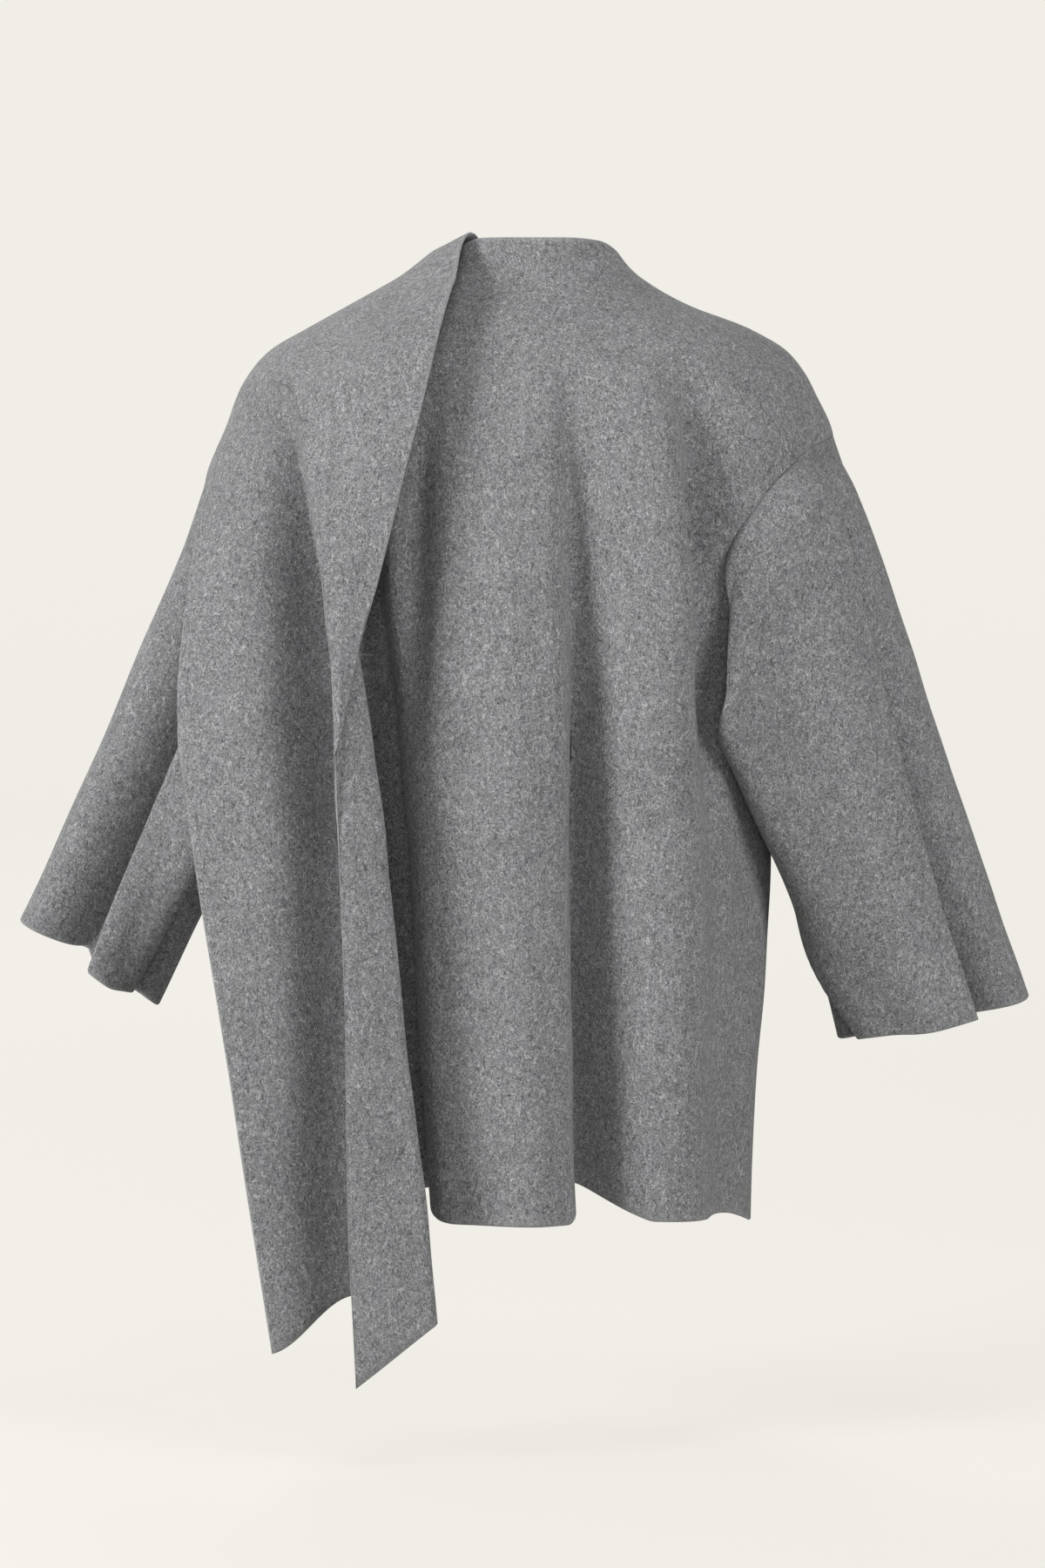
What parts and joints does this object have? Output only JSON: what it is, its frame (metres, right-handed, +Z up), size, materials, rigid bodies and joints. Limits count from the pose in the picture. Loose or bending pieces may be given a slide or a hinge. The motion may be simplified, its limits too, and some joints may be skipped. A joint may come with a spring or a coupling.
{
  "type": "cape jacket",
  "caption": "Funnel-neck felted wool cape jacket, its right front wrapped over the left shoulder and hanging behind in points.",
  "frame": {"origin": "centre of the neck base, where the wearer's shoulders carry the jacket", "axes": "+Z up, the garment's back faces -Y, the wearer's left is at -X"},
  "size_m": [0.813, 0.3435, 0.8987],
  "materials": {
    "wool_back": "felted wool melange, matte with a short nap",
    "wool_left_front": "felted wool melange, matte with a short nap",
    "wool_cape": "felted wool melange, matte with a short nap",
    "wool_left_sleeve": "felted wool melange, matte with a short nap",
    "wool_right_sleeve": "felted wool melange, matte with a short nap"
  },
  "bodies": {
    "root": {"back_panel": "wool_back", "left_front": "wool_left_front", "right_front_cape": "wool_cape", "left_sleeve": "wool_left_sleeve", "right_sleeve": "wool_right_sleeve"}
  },
  "joints": []
}
